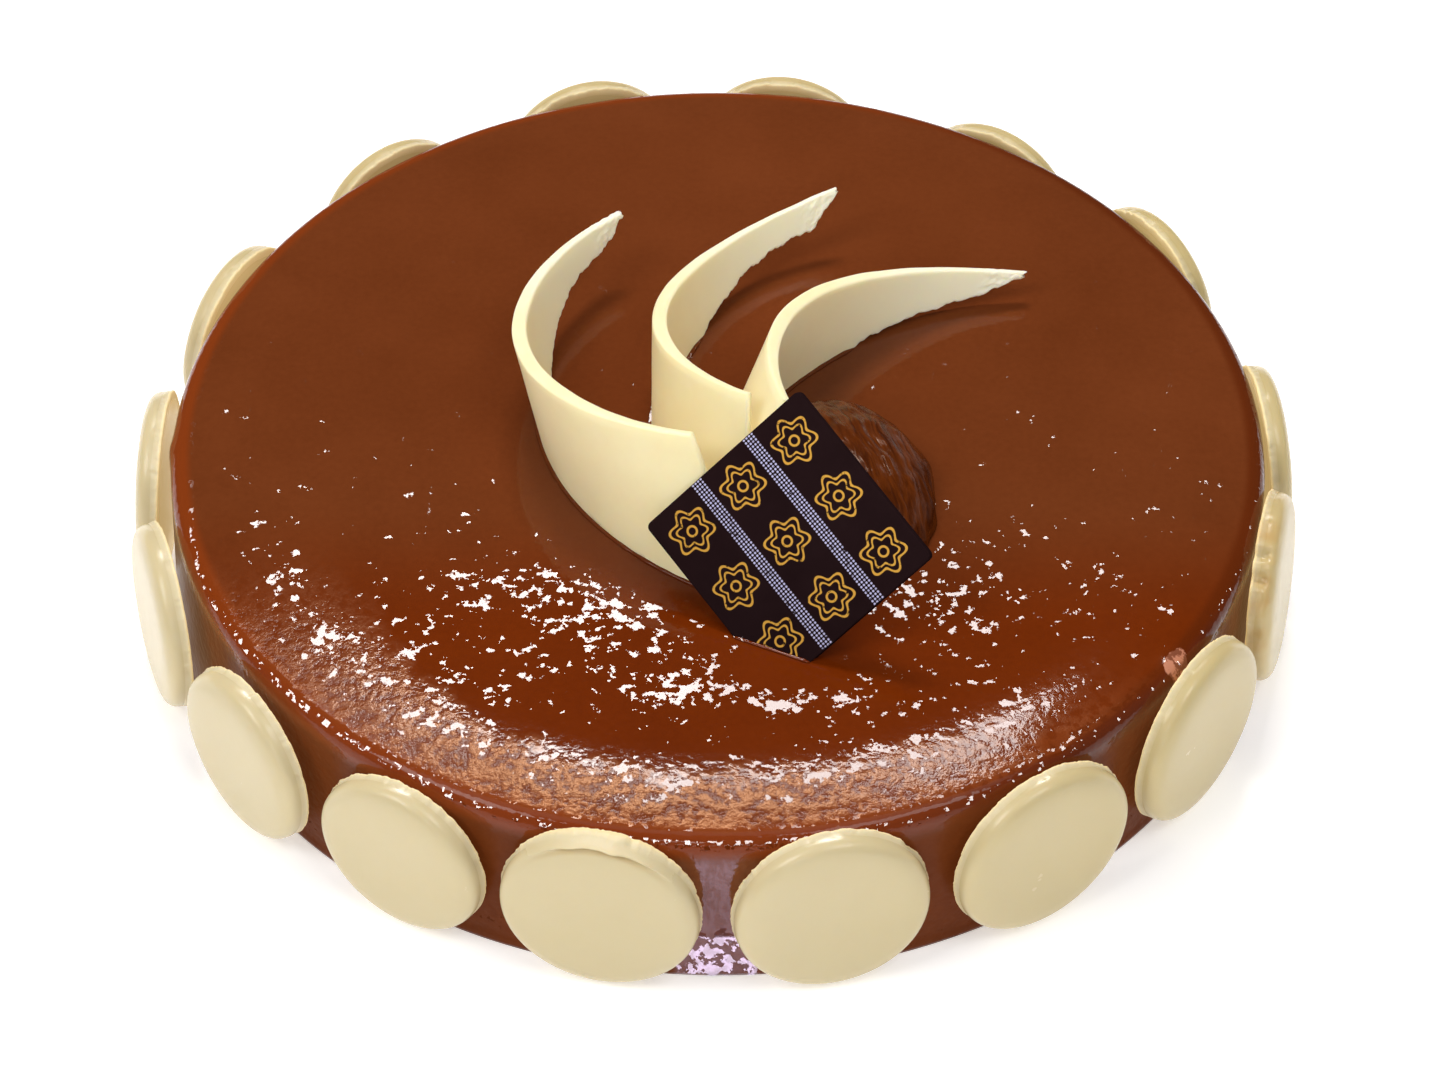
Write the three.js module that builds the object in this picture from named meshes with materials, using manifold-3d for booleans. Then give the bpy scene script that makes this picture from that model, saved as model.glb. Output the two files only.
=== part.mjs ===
// A round chocolate cake under a poured glaze, ringed by white chocolate discs and topped with
// three fanned white chocolate curls, a dark chocolate plaque and the ganache mound behind them.
// Millimetres, +Z up. The origin is the middle of the flat underside.

import * as THREE from 'three';
import { mergeVertices } from 'three/addons/utils/BufferGeometryUtils.js';
import Module from 'manifold-3d';

const wasm = await Module();
wasm.setup();

const GAP = 0.3;                       // clearance between neighbouring pieces
const degrees = THREE.MathUtils.degToRad;

// The glazed cake
const CAKE_HEIGHT = 38.5;              // underside to the flat of the top
const RIM_RADIUS = 111.4;              // the widest point just under the rounded rim
const RIM_ROUND = 3.6;                 // radius of the rounded rim
const DROOP_START = 88;                // the top is flat out to here, then falls to the rim
const DROOP_DEPTH = 1.2;
const WALL_LEAN = degrees(1.95);       // the side widens towards its foot by this angle
const RIM_SWEEP = degrees(84);         // the rounded rim turns through this, to meet the droop
const RIM_STEPS = 5;
const DROOP_STEPS = 4;
const CAKE_SEGMENTS = 96;

// The white chocolate discs that stand against the side
const DISC_RADIUS = 18.8;
const DISC_THICKNESS = 5.4;
const DISC_FLANGE = 1.2;               // thickness of the thin outer edge
const DISC_SHOULDER = 0.93;            // radius of the shoulder, as a share of the disc's
const DISC_FACE = 0.82;                // radius of the flat face, as a share of the disc's
const DISC_STAND = 0.15;               // height of a disc's lowest point above the underside
const DISC_SEGMENTS = 22;

// How each disc stands: its azimuth counterclockwise from +X, its size against DISC_RADIUS, how far
// its middle is off the wall beyond GAP, how far it leans back and how far it is turned from square
const DISCS = [
  { azimuth: -101.2, size: 1.042, off: 0.5, lean: 1.6, turn: 0 },
  { azimuth: -79.1, size: 1.026, off: 0.4, lean: 3, turn: 1.4 },
  { azimuth: -57.3, size: 1.04, off: 1.2, lean: 0.6, turn: 0 },
  { azimuth: -35.2, size: 1.045, off: 1, lean: 0.6, turn: -1.3 },
  { azimuth: -13.4, size: 1.035, off: 0.4, lean: 3.5, turn: 0 },
  { azimuth: 6.8, size: 0.986, off: 0.2, lean: 2.5, turn: 0 },
  { azimuth: 34.8, size: 1, off: 0.6, lean: 2.4, turn: -0.5 },
  { azimuth: 57.6, size: 0.987, off: 0.2, lean: 2.5, turn: 0 },
  { azimuth: 82.5, size: 1.005, off: 0.2, lean: 1.6, turn: 0 },
  { azimuth: 104.5, size: 1.015, off: 0.4, lean: 1.6, turn: 0 },
  { azimuth: 128.7, size: 1, off: 0.75, lean: 2.4, turn: 0 },
  { azimuth: 153.6, size: 1.01, off: 0.9, lean: 3, turn: -1.5 },
  { azimuth: 177.6, size: 0.993, off: 1.4, lean: 2, turn: 0 },
  { azimuth: 197.3, size: 1.006, off: 2.5, lean: 2.2, turn: 0 },
  { azimuth: 218.05, size: 0.973, off: 2.7, lean: 1.3, turn: 1.2 },
  { azimuth: 238.2, size: 0.965, off: 0.6, lean: 0.6, turn: 0.8 },
];

// The dark chocolate plaque, a thin square that leans back with one corner sunk in the cake
const PLAQUE_SIDE = 41.5;
const PLAQUE_THICKNESS = 2;
const PLAQUE_CENTRE = new THREE.Vector3(13.4, -49.9, CAKE_HEIGHT + 16.9);
const PLAQUE_FRONT = new THREE.Vector3(-0.336, -0.722, 0.605);
const PLAQUE_EDGE = new THREE.Vector3(0.617, -0.654, -0.438);
const PLAQUE_CORNER = 1.2;             // radius of its rounded corners

// The ganache mound behind the plaque
const MOUND_CENTRE = new THREE.Vector2(24, -22);
const MOUND_REACH = new THREE.Vector2(20, 27);   // half its width and half its length
const MOUND_HEIGHT = 14.5;
const MOUND_RIDGES = 5;                // smeared ridges across it
const MOUND_RIDGE_DEPTH = 2;

// The curls. Each is a strip of the wall of a leaning tube. The tube's axis starts at `centre` on
// the cake's top and leans sideways by `lean` for each unit of height, with an extra `twist` at
// the front. The strip runs round the tube from `from` to `to` degrees while the tube's radius
// grows by `spread`. `rise` gives the height of its upper edge along the axis, as a quadratic
// from front to tip, and `widths` the strip's width at CURL_STATIONS.
const CURL_THICKNESS = 3;
const CURL_FRONT_THICKNESS = 1.7;
const CURL_TIP_THICKNESS = 1.8;
const CURL_FULL = [0.35, 0.6];         // a strip is at its full thickness between these shares
const CURL_STATIONS = [0, 0.65, 0.8, 0.93, 1];
const CURL_EDGE_ROUND = 0.4;           // edge rounding, as a share of the thickness
const CURL_STEPS = 32;
const CURL_BEHIND = 12;                // a later curl stays out of this depth outside an earlier one
const CURL_RUN_ON = 0.05;              // and out of this share of its length beyond its ends
const CURLS = [
  {
    name: 'curl_1', centre: [18.5, 2.5], radius: 50.9, spread: 0.108, lean: [-0.199, 0.224],
    twist: [-0.228, 0.438], from: -107.7, to: -233.1, rise: [25.9, 17.0, -11.5],
    widths: [60, 19.6, 9.8, 5.2, 0.8],
  },
  {
    name: 'curl_2', centre: [31.3, -1.8], radius: 44.1, spread: 0.043, lean: [0.009, 0.655],
    twist: [0, 0], from: -125.9, to: -261.7, rise: [14.2, 18.0, 12.8],
    widths: [60, 16.4, 8.2, 6.6, 2],
  },
  {
    name: 'curl_3', centre: [48.7, -23.0], radius: 46.9, spread: 0.183, lean: [0.471, 0.503],
    twist: [0, 0], from: -156, to: -271.4, rise: [10.9, 20.1, 6.7],
    widths: [60, 20.6, 11.2, 6, 0.8],
  },
];

// Geometry helpers

function bare(geometry) {
  geometry.deleteAttribute('normal');
  geometry.deleteAttribute('uv');
  return mergeVertices(geometry, 1e-4);
}

function toSolid(geometry) {
  const merged = bare(geometry);
  return new wasm.Manifold(new wasm.Mesh({
    numProp: 3,
    vertProperties: new Float32Array(merged.attributes.position.array),
    triVerts: new Uint32Array(merged.index.array),
  }));
}

function fromSolid(solid) {
  const mesh = solid.getMesh();
  const geometry = new THREE.BufferGeometry();
  geometry.setAttribute('position', new THREE.BufferAttribute(mesh.vertProperties, 3));
  geometry.setIndex(new THREE.BufferAttribute(mesh.triVerts, 1));
  return geometry;
}

function piece(name, geometry, colour, roughness) {
  const material = new THREE.MeshStandardMaterial({ color: colour, roughness, metalness: 0 });
  geometry.computeVertexNormals();
  const mesh = new THREE.Mesh(geometry, material);
  mesh.name = name;
  return mesh;
}

function moveVertices(geometry, move) {
  const positions = geometry.attributes.position;
  const point = new THREE.Vector3();
  for (let i = 0; i < positions.count; i += 1) {
    point.fromBufferAttribute(positions, i);
    move(point);
    positions.setXYZ(i, point.x, point.y, point.z);
  }
  return geometry;
}

// The straight line through neighbouring pairs of `stations` and `values`, read at `x`
function between(stations, values, x) {
  let i = 1;
  while (i < stations.length - 1 && x > stations[i]) i += 1;
  const share = (x - stations[i - 1]) / (stations[i] - stations[i - 1]);
  return THREE.MathUtils.lerp(values[i - 1], values[i], share);
}

// The biggest of the separate bodies that a cut leaves
function biggest(solid) {
  const bodies = solid.decompose();
  return bodies.reduce((best, body) => (body.volume() > best.volume() ? body : best));
}

// A slab that fills everything under the top of the cake, with the clearance above it
function underTop() {
  const span = 4 * RIM_RADIUS;
  const slab = new THREE.BoxGeometry(span, span, 2 * CAKE_HEIGHT);
  slab.translate(0, 0, GAP);
  return toSolid(slab);
}

// The cake

const rimCentreRadius = RIM_RADIUS - RIM_ROUND;
const rimTopHeight = CAKE_HEIGHT - DROOP_DEPTH;
const wallTopHeight = rimTopHeight - RIM_ROUND;

function wallRadius(height) {
  return RIM_RADIUS + (wallTopHeight - height) * Math.tan(WALL_LEAN);
}

function cakeProfile() {
  const outline = [new THREE.Vector2(0, 0), new THREE.Vector2(wallRadius(0), 0)];
  for (let i = 0; i <= RIM_STEPS; i += 1) {
    const angle = RIM_SWEEP * i / RIM_STEPS;
    outline.push(new THREE.Vector2(
      rimCentreRadius + RIM_ROUND * Math.cos(angle),
      wallTopHeight + RIM_ROUND * Math.sin(angle),
    ));
  }
  for (let i = 1; i <= DROOP_STEPS; i += 1) {
    const share = 1 - i / DROOP_STEPS;
    outline.push(new THREE.Vector2(
      THREE.MathUtils.lerp(DROOP_START, rimCentreRadius, share),
      CAKE_HEIGHT - DROOP_DEPTH * share ** 2,
    ));
  }
  outline.push(new THREE.Vector2(0, CAKE_HEIGHT));
  return outline;
}

// The plaque

function plaqueFrame() {
  const front = PLAQUE_FRONT.clone().normalize();
  const across = PLAQUE_EDGE.clone().addScaledVector(front, -PLAQUE_EDGE.dot(front)).normalize();
  const along = front.clone().cross(across);
  return new THREE.Matrix4().makeBasis(across, along, front).setPosition(PLAQUE_CENTRE);
}

// `clearance` grows the square all round, and `forward` thickens it at its front.
function plaqueGeometry(clearance, forward = 0) {
  const half = PLAQUE_SIDE / 2 + clearance;
  const corner = PLAQUE_CORNER + clearance;
  const outline = new THREE.Shape();
  outline.moveTo(-half + corner, -half);
  outline.lineTo(half - corner, -half);
  outline.absarc(half - corner, -half + corner, corner, -Math.PI / 2, 0);
  outline.absarc(half - corner, half - corner, corner, 0, Math.PI / 2);
  outline.absarc(-half + corner, half - corner, corner, Math.PI / 2, Math.PI);
  outline.absarc(-half + corner, -half + corner, corner, Math.PI, 1.5 * Math.PI);
  const depth = PLAQUE_THICKNESS + 2 * clearance + forward;
  const square = new THREE.ExtrudeGeometry(outline, { depth, bevelEnabled: false, curveSegments: 4 });
  square.translate(0, 0, -PLAQUE_THICKNESS - clearance);
  return square.applyMatrix4(plaqueFrame());
}

// The ganache mound: a low dome whose skin is smeared into ridges that curve round it

function moundGeometry() {
  const dome = bare(new THREE.SphereGeometry(1, 28, 16));
  dome.rotateX(Math.PI / 2);
  moveVertices(dome, (point) => {
    const reach = Math.hypot(point.x, point.y);
    const turn = Math.atan2(point.y, point.x);
    const wave = Math.cos(2 * Math.PI * MOUND_RIDGES * reach);
    const ridge = MOUND_RIDGE_DEPTH * wave * reach * (1 - reach);
    const lobe = 1 + 0.03 * Math.cos(3 * turn + 0.6);
    point.x = MOUND_CENTRE.x + point.x * MOUND_REACH.x * lobe;
    point.y = MOUND_CENTRE.y + point.y * MOUND_REACH.y * lobe;
    point.z = CAKE_HEIGHT + point.z * MOUND_HEIGHT + ridge;
  });
  return dome;
}

// A curl. `clearance` grows the strip all round, `outwards` thickens its outer side, and `runOn` lengthens
// it at both ends by a share of its length.
function curlGeometry(curl, { clearance = 0, outwards = 0, runOn = 0 } = {}) {
  const lean = new THREE.Vector3(curl.lean[0], curl.lean[1], 1).normalize();
  const sideways = new THREE.Vector3(1, 0, 0).addScaledVector(lean, -lean.x).normalize();
  const backways = lean.clone().cross(sideways);
  const outward = new THREE.Vector3();
  const rising = new THREE.Vector3();
  const strip = new THREE.CylinderGeometry(1, 1, 1, 12, CURL_STEPS, false, degrees(15));
  moveVertices(strip, (point) => {
    const atCentre = Math.hypot(point.x, point.z) < 0.5;
    const along = (0.5 - point.y) * (1 + 2 * runOn) - runOn;
    const turn = Math.atan2(point.z, point.x);
    const fromFront = THREE.MathUtils.smoothstep(along, 0, CURL_FULL[0]);
    const toTip = THREE.MathUtils.smoothstep(along, CURL_FULL[1], 1);
    const thickness = CURL_THICKNESS
      - (CURL_THICKNESS - CURL_FRONT_THICKNESS) * (1 - fromFront)
      - (CURL_THICKNESS - CURL_TIP_THICKNESS) * toTip;
    const halfThickness = (thickness + outwards) / 2 + clearance;
    const halfWidth = between(CURL_STATIONS, curl.widths, along) / 2 + clearance;
    const round = CURL_EDGE_ROUND * Math.min(thickness / 2, halfWidth);
    let across = 0;
    let upwards = 0;
    if (!atCentre) {
      across = Math.sign(Math.cos(turn)) * (halfThickness - round) + round * Math.cos(turn);
      upwards = Math.sign(Math.sin(turn)) * (halfWidth - round) + round * Math.sin(turn);
    }
    const angle = degrees(THREE.MathUtils.lerp(curl.from, curl.to, along));
    const radius = curl.radius * (1 + curl.spread * along) - (thickness - outwards) / 2;
    const front = (1 - along) ** 2;
    const rise = curl.rise[0] + curl.rise[1] * along + curl.rise[2] * along ** 2;
    const height = rise - halfWidth + clearance + upwards;
    outward.copy(sideways).multiplyScalar(Math.cos(angle)).addScaledVector(backways, Math.sin(angle));
    rising.set(curl.lean[0] + curl.twist[0] * front, curl.lean[1] + curl.twist[1] * front, 1);
    rising.normalize();
    point.set(curl.centre[0], curl.centre[1], CAKE_HEIGHT);
    point.addScaledVector(outward, radius + across).addScaledVector(rising, height);
  });
  return strip;
}

// A disc, flat at its back and gently domed in front, with its axis along +X

function discGeometry(size) {
  const radius = DISC_RADIUS * size;
  const shoulder = DISC_SHOULDER * radius;
  const face = DISC_FACE * radius;
  const edge = new THREE.QuadraticBezierCurve(
    new THREE.Vector2(shoulder, DISC_THICKNESS * 0.55),
    new THREE.Vector2(shoulder * 0.97, DISC_THICKNESS * 0.92),
    new THREE.Vector2(face, DISC_THICKNESS * 0.96),
  );
  const outline = [
    new THREE.Vector2(0, 0),
    new THREE.Vector2(radius, 0),
    new THREE.Vector2(radius, DISC_FLANGE),
    ...edge.getPoints(2),
    new THREE.Vector2(0, DISC_THICKNESS),
  ];
  const disc = new THREE.LatheGeometry(outline, DISC_SEGMENTS);
  disc.rotateZ(-Math.PI / 2);
  return bare(disc);
}

// Assembly

const model = new THREE.Group();
const cake = toSolid(new THREE.LatheGeometry(cakeProfile(), CAKE_SEGMENTS).rotateX(Math.PI / 2));
const pocket = toSolid(plaqueGeometry(GAP));
model.add(piece('cake_body', fromSolid(cake.subtract(pocket)), 0x73341a, 0.3));

for (const [index, { azimuth, size, off, lean, turn }] of DISCS.entries()) {
  const height = DISC_RADIUS * size * Math.cos(degrees(lean)) + DISC_STAND;
  const disc = piece(`disc_${String(index + 1).padStart(2, '0')}`, discGeometry(size), 0xd9c69a, 0.4);
  const holder = new THREE.Group();
  holder.rotation.z = degrees(azimuth);
  disc.position.set(wallRadius(height) + GAP / Math.cos(WALL_LEAN) + off, 0, height);
  disc.rotation.set(0, -degrees(lean), degrees(turn), 'ZYX');
  holder.add(disc);
  model.add(holder);
}

// What a curl is cut back from: the cake, the plaque and all in front of it, and earlier curls
const cutter = { clearance: GAP, outwards: CURL_BEHIND, runOn: CURL_RUN_ON };
let taken = underTop().add(toSolid(plaqueGeometry(GAP, PLAQUE_SIDE / 2)));
for (const curl of CURLS) {
  const strip = toSolid(curlGeometry(curl));
  model.add(piece(curl.name, fromSolid(biggest(strip.subtract(taken))), 0xdbcca1, 0.4));
  taken = taken.add(toSolid(curlGeometry(curl, cutter)));
}

model.add(piece('plaque', plaqueGeometry(0), 0x1d1514, 0.35));
model.add(piece('ganache_mound', fromSolid(toSolid(moundGeometry()).subtract(taken)), 0x4a1f0e, 0.25));

export default model;
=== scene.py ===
import math

import bmesh
import bpy
from mathutils import Matrix, Quaternion, Vector, noise


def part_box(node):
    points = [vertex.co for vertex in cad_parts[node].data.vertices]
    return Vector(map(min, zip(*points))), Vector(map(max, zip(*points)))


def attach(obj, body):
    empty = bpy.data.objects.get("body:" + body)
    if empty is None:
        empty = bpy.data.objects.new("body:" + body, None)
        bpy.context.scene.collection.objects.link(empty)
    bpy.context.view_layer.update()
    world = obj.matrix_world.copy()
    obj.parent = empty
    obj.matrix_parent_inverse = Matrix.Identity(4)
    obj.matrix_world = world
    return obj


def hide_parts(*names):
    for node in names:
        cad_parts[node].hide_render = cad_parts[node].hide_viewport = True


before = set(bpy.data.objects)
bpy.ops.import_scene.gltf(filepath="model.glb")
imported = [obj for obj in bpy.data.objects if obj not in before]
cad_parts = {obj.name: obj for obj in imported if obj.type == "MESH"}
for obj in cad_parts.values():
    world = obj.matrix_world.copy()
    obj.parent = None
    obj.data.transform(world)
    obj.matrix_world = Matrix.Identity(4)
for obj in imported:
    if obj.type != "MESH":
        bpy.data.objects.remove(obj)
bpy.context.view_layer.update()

MM = 0.001
DEGREE = math.pi / 180

# The cake, in millimetres. The frame's own cake gives its height and the width of its foot. Its top
# falls by DROOP_DEPTH from DROOP_START out to the rim, which is rounded through RIM_SWEEP.
_, cake_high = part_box("cake_body")
CAKE_HEIGHT = cake_high.z / MM
FOOT_RADIUS = cake_high.x / MM
WALL_LEAN = 1.95 * DEGREE
RIM_ROUND = 3.6
RIM_SWEEP = 84 * DEGREE
DROOP_START = 88
DROOP_DEPTH = 1.2
WALL_TOP = CAKE_HEIGHT - DROOP_DEPTH - RIM_ROUND
RIM_RADIUS = FOOT_RADIUS - WALL_TOP * math.tan(WALL_LEAN)
RIM_CENTRE = RIM_RADIUS - RIM_ROUND
CAKE_STEPS = 450

# The room that the frame leaves between neighbouring pieces
GAP = 0.3

# Marks in the glaze: a thick lip at the left, a blister, a notch in the rim, and two shallow dents
# at the back. Everything from SWELL_START outwards swells a little with the wall.
SWELL_START = 100
LIP_CENTRE = (-110, -4)
BLISTER_CENTRE = (89, -64.5)
NOTCH_CENTRE = (65, -86.5)
DENT_CENTRE = (13, 78)
SMALL_DENT_CENTRE = (-23, 76)

# The white chocolate discs: azimuth, size as a share of DISC_RADIUS, distance off the wall, lean
# and turn, as in the frame. DISC_STAND is how far they stand above the table. One has a lumpy ledge
# on its upper edge, and one a chipped and stained edge.
DISC_RADIUS = 18.8
DISC_THICKNESS = 5.4
DISC_STAND = 0.15
DISC_STEPS = 260
DISCS = (
    (-101.2, 1.042, 0.5, 1.6, 0), (-79.1, 1.026, 0.4, 3.0, 1.4), (-57.3, 1.040, 1.2, 0.6, 0),
    (-35.2, 1.045, 1.0, 0.6, -1.3), (-13.4, 1.035, 0.4, 3.5, 0), (6.8, 0.986, 0.2, 2.5, 0),
    (34.8, 1.0, 0.6, 2.4, -0.5), (57.6, 0.987, 0.2, 2.5, 0), (82.5, 1.005, 0.2, 1.6, 0),
    (104.5, 1.015, 0.4, 1.6, 0), (128.7, 1.0, 0.75, 2.4, 0), (153.6, 1.01, 0.9, 3.0, -1.5),
    (177.6, 0.993, 1.4, 2.0, 0), (197.3, 1.006, 2.5, 2.2, 0), (218.05, 0.973, 2.7, 1.3, 1.2),
    (238.2, 0.965, 0.6, 0.6, 0.8),
)
LUMPY_DISC = 1
CHIPPED_DISC = 5

# The plaque: where the middle of its printed face is, the way that face looks, and the way of its
# edge. PLAQUE_CORNER and PLAQUE_RIM are how far its corners and edges are rounded.
PLAQUE_SIDE = 41.5
PLAQUE_THICKNESS = 2
PLAQUE_CORNER = 1.2
PLAQUE_RIM = 0.25
PLAQUE_CENTRE = Vector((13.4, -49.9, CAKE_HEIGHT + 16.9))
PLAQUE_FRONT = Vector((-0.336, -0.722, 0.605))
PLAQUE_EDGE = Vector((0.617, -0.654, -0.438))

# The mound of ganache, of which only what is above MOUND_FOOT is kept
MOUND_CENTRE = Vector((24, -22))
MOUND_REACH = Vector((20, 27))
MOUND_HEIGHT = 14.5
MOUND_FOOT = CAKE_HEIGHT + 0.05
MOUND_FINENESS = 7

# The curls: each is a strip of the wall of a leaning tube, as in the frame. `stations` and `widths`
# give its height along its length, `ragged` how far its broken lower edge wanders, and `bead` where
# the glaze begins to stand up along it. A curl has its full thickness between the CURL_FULL shares
# of its length, which is about CURL_LENGTH. No part of it is higher than CURL_HIGHEST, and it ends
# at the level CURL_FOOT, just inside the glaze.
CURL_THICKNESS = 3
CURL_FRONT_THICKNESS = 1.7
CURL_TIP_THICKNESS = 1.8
CURL_FULL = (0.35, 0.6)
CURL_HIGHEST = 46
CURL_LENGTH = 110
CURL_FOOT = CAKE_HEIGHT - 0.15
CURL_SIDES = 64
CURL_STEPS = 300
CURLS = {
    "curl_1": dict(
        centre=(18.5, 2.5), radius=50.9, spread=0.108, lean=(-0.199, 0.224), twist=(-0.228, 0.438),
        start=-107.7, end=-233.1, rise=(25.9, 17.0, -11.5), ragged=0.35, bead=0.01,
        stations=(0, 0.65, 0.75, 0.83, 0.87, 0.93, 0.96, 0.985, 1),
        widths=(60, 19.6, 12.9, 8.6, 7.4, 6.0, 4.4, 2.0, 0.8)),
    "curl_2": dict(
        centre=(31.3, -1.8), radius=44.1, spread=0.043, lean=(0.009, 0.655), twist=(0, 0),
        start=-125.9, end=-261.7, rise=(14.2, 18.0, 12.8), ragged=0.5, bead=0,
        stations=(0, 0.65, 0.68, 0.72, 0.775, 0.81, 0.865, 0.93, 0.954, 0.97, 1),
        widths=(60, 17.6, 14.4, 11.9, 9.6, 8.2, 7.1, 6.6, 6.9, 4.0, 2)),
    "curl_3": dict(
        centre=(48.7, -23.0), radius=46.9, spread=0.183, lean=(0.471, 0.503), twist=(0, 0),
        start=-156, end=-271.4, rise=(10.9, 20.1, 6.7), ragged=0.5, bead=0.16,
        stations=(0, 0.57, 0.67, 0.725, 0.786, 0.866, 0.93, 0.94, 0.97, 1),
        widths=(60, 23.4, 19.6, 15.1, 11.8, 8.5, 6.1, 4.8, 2.8, 0.8)),
}

# The beads of glaze at the feet of the curls and the plaque. Those of a curl run to BEAD_END, a
# share of its length, and the inner one starts BEAD_LATER than the outer one.
BEAD_SIDES = 12
BEAD_STEPS = 6
BEAD_LEVEL = CAKE_HEIGHT + 0.1
BEAD_OFF = 0.15
BEAD_END = 0.8
BEAD_LATER = 0.08
BEAD_REACH = 0.5
PLAQUE_BEAD_REACH = 0.38


# Small helpers

def mix(a, b, share):
    return a + (b - a) * share


def ease(value, low, high):
    """0 at low, 1 at high, and a smooth step between them."""
    share = min(max((value - low) / (high - low), 0), 1)
    return share * share * (3 - 2 * share)


def between(stations, values, x):
    """The straight line through neighbouring stations and values, read at x."""
    i = 1
    while i < len(stations) - 1 and x > stations[i]:
        i += 1
    return mix(values[i - 1], values[i], (x - stations[i - 1]) / (stations[i] - stations[i - 1]))


def wobble(x, y, z=0.0, size=1.0):
    """Smooth noise from -1 to 1 whose lumps are about size millimetres across."""
    return noise.noise(Vector((x, y, z)) / size)


def spot(x, y, centre, reach, turn=0.0):
    """1 in the middle of an oval spot, falling smoothly to 0 at its edge."""
    across = (x - centre[0]) * math.cos(turn) + (y - centre[1]) * math.sin(turn)
    along = (y - centre[1]) * math.cos(turn) - (x - centre[0]) * math.sin(turn)
    return 1 - ease(math.hypot(across / reach[0], along / reach[1]), 0, 1)


# Shader tools

class Wire:
    """A shader socket that takes part in sums."""

    def __init__(self, paint, socket):
        self.paint = paint
        self.socket = socket

    def _sum(self, operation, *values):
        return self.paint.node("Math", dict(operation=operation), values)

    def __add__(self, other):
        return self._sum("ADD", self, other)

    def __sub__(self, other):
        return self._sum("SUBTRACT", self, other)

    def __rsub__(self, other):
        return self._sum("SUBTRACT", other, self)

    def __mul__(self, other):
        return self._sum("MULTIPLY", self, other)

    def __pow__(self, other):
        return self._sum("POWER", self, other)

    __radd__ = __add__
    __rmul__ = __mul__


class Paint:
    """One material's node tree, with a Principled shader at its end."""

    def __init__(self, name):
        self.material = bpy.data.materials.new(name)
        self.material.use_nodes = True
        self.tree = self.material.node_tree
        self.shader = self.tree.nodes["Principled BSDF"]
        self.surface = Wire(self, self.shader.outputs[0])

    def node(self, kind, settings=None, values=(), out=0):
        """A node of that kind. values fills its sockets, by place in a list or name in a dict."""
        made = self.tree.nodes.new("ShaderNode" + kind)
        for key, value in (settings or {}).items():
            setattr(made, key, value)
        named = values.items() if isinstance(values, dict) else enumerate(values)
        for key, value in named:
            self.feed(made.inputs[key], value)
        return Wire(self, made.outputs[out])

    def feed(self, socket, value):
        if isinstance(value, Wire):
            self.tree.links.new(value.socket, socket)
        elif hasattr(socket.default_value, "__len__") and len(socket.default_value) == 4:
            socket.default_value = (*value, 1)
        else:
            socket.default_value = value

    def set(self, shader=None, **sockets):
        """Feeds a shader's sockets, such as Base_Color, by their names."""
        for key, value in sockets.items():
            self.feed((shader or self.shader).inputs[key.replace("_", " ")], value)

    def overlay(self, share, **sockets):
        """Another Principled shader laid by that share over what is there so far."""
        added = self.tree.nodes.new("ShaderNodeBsdfPrincipled")
        self.set(added, **sockets)
        added = Wire(self, added.outputs[0])
        self.surface = self.node("MixShader", values=[share, self.surface, added])
        end = self.tree.nodes["Material Output"].inputs["Surface"]
        self.tree.links.new(self.surface.socket, end)

    def place(self):
        """Object coordinates, in metres."""
        return self.node("TexCoord", out="Object")

    def split(self, vector):
        """The three parts of a vector."""
        node = self.node("SeparateXYZ", values=[vector]).socket.node
        return [Wire(self, node.outputs[i]) for i in range(3)]

    def scaled(self, vector, scale):
        return self.node("VectorMath", dict(operation="MULTIPLY"), [vector, scale])

    def noise(self, vector, scale, detail=2.0, roughness=0.5, distortion=0.0):
        return self.node("TexNoise", values={
            "Vector": vector, "Scale": scale, "Detail": detail, "Roughness": roughness,
            "Distortion": distortion})

    def dots(self, vector, scale, reach):
        """Round specks, 1 in their middles. A surface cuts through only some of them."""
        made = self.node("TexVoronoi", values={"Vector": vector, "Scale": scale}, out="Distance")
        return self.ramp(made, 0, reach, 1, 0)

    def ramp(self, value, low, high, start=0.0, end=1.0):
        """A smooth step from start at low to end at high. low may be the greater of the two."""
        return self.node("MapRange", dict(interpolation_type="SMOOTHSTEP", clamp=True), {
            "Value": value, "From Min": low, "From Max": high, "To Min": start, "To Max": end})

    def band(self, value, low, high, soft):
        """1 between low and high, with an edge soft wide inside each of them."""
        return self.ramp(value, low, low + soft) * self.ramp(value, high, high - soft)

    def attribute(self, name):
        """A number that each vertex of the piece carries."""
        return self.node("Attribute", dict(attribute_name=name), out="Fac")

    def blend(self, share, first, second, mode="MIX"):
        return self.node("Mix", dict(data_type="RGBA", blend_type=mode), {
            0: share, 6: first, 7: second}, out=2)

    def patch(self, place, centre, reach, turn=0.0, core=0.3):
        """1 inside an oval patch of the XY plane given in millimetres, falling to 0 at its edge.
        core is the share of the patch that is at 1. The patch goes through the whole height."""
        inside = self.node("Mapping", dict(vector_type="TEXTURE"), {
            "Vector": place, "Location": (centre[0] * MM, centre[1] * MM, 0),
            "Rotation": (0, 0, turn * DEGREE), "Scale": (reach[0] * MM, reach[1] * MM, 1000)})
        length = self.node("VectorMath", dict(operation="LENGTH"), [inside], out="Value")
        return self.ramp(length, core, 1, 1, 0)

    def lean(self, share, normal, facet):
        """The normal, turned by that share towards the normal of a facet."""
        return self.node("Mix", dict(data_type="VECTOR"), {0: share, 4: normal, 5: facet}, out=1)

    def relief(self, height):
        """A bump of a height given in millimetres."""
        return self.node("Bump", values={"Height": height, "Distance": MM})


# Finishes. Their lengths are in metres, as a shader's are, apart from those of the patches.

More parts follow.
